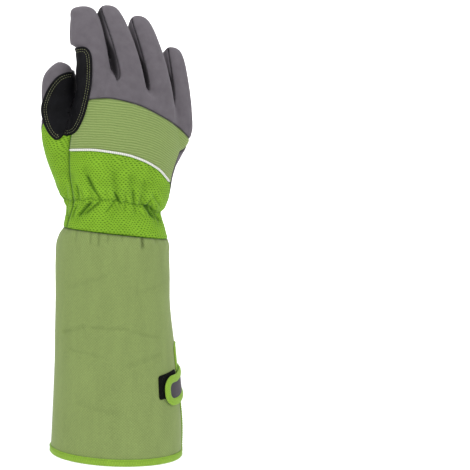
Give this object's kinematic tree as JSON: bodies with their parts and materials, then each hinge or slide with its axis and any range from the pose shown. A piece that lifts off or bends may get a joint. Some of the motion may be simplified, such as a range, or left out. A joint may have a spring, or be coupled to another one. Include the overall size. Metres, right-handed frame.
{
  "type": "rose pruning gauntlet",
  "caption": "Right-hand pruning gauntlet: suede glove with a ribbed stretch back and gathered mesh wrist, and a long canvas forearm cuff with a slit closed by a tab.",
  "frame": {"origin": "centre of the cuff's mouth, where the forearm goes in", "axes": "+Z from the mouth towards the fingertips, -Y out of the back of the hand, +X towards the little finger"},
  "size_m": [0.1515, 0.1068, 0.4505],
  "materials": {
    "suede": "matt nap",
    "lime_mesh": "matt, dotted knit",
    "cuff_canvas": "matt",
    "ribbed_stretch": "matt, finely ribbed",
    "black_patch": "satin",
    "lime_tape": "satin",
    "white_cord": "satin"
  },
  "bodies": {
    "root": {"back_panel": "suede", "palm_panel": "suede", "thumb_shell": "suede", "fourchette_index_middle": "suede", "fourchette_middle_ring": "suede", "fourchette_ring_little": "suede", "side_panel": "lime_mesh", "wrist_panel": "lime_mesh", "elastic_panel": "ribbed_stretch", "thumb_patch": "black_patch", "index_patch": "black_patch", "piping": "white_cord", "cuff_sleeve": "cuff_canvas", "cuff_binding": "lime_tape", "loop_patch": "black_patch", "closure_tab": "suede", "tab_binding": "lime_tape"}
  },
  "joints": []
}
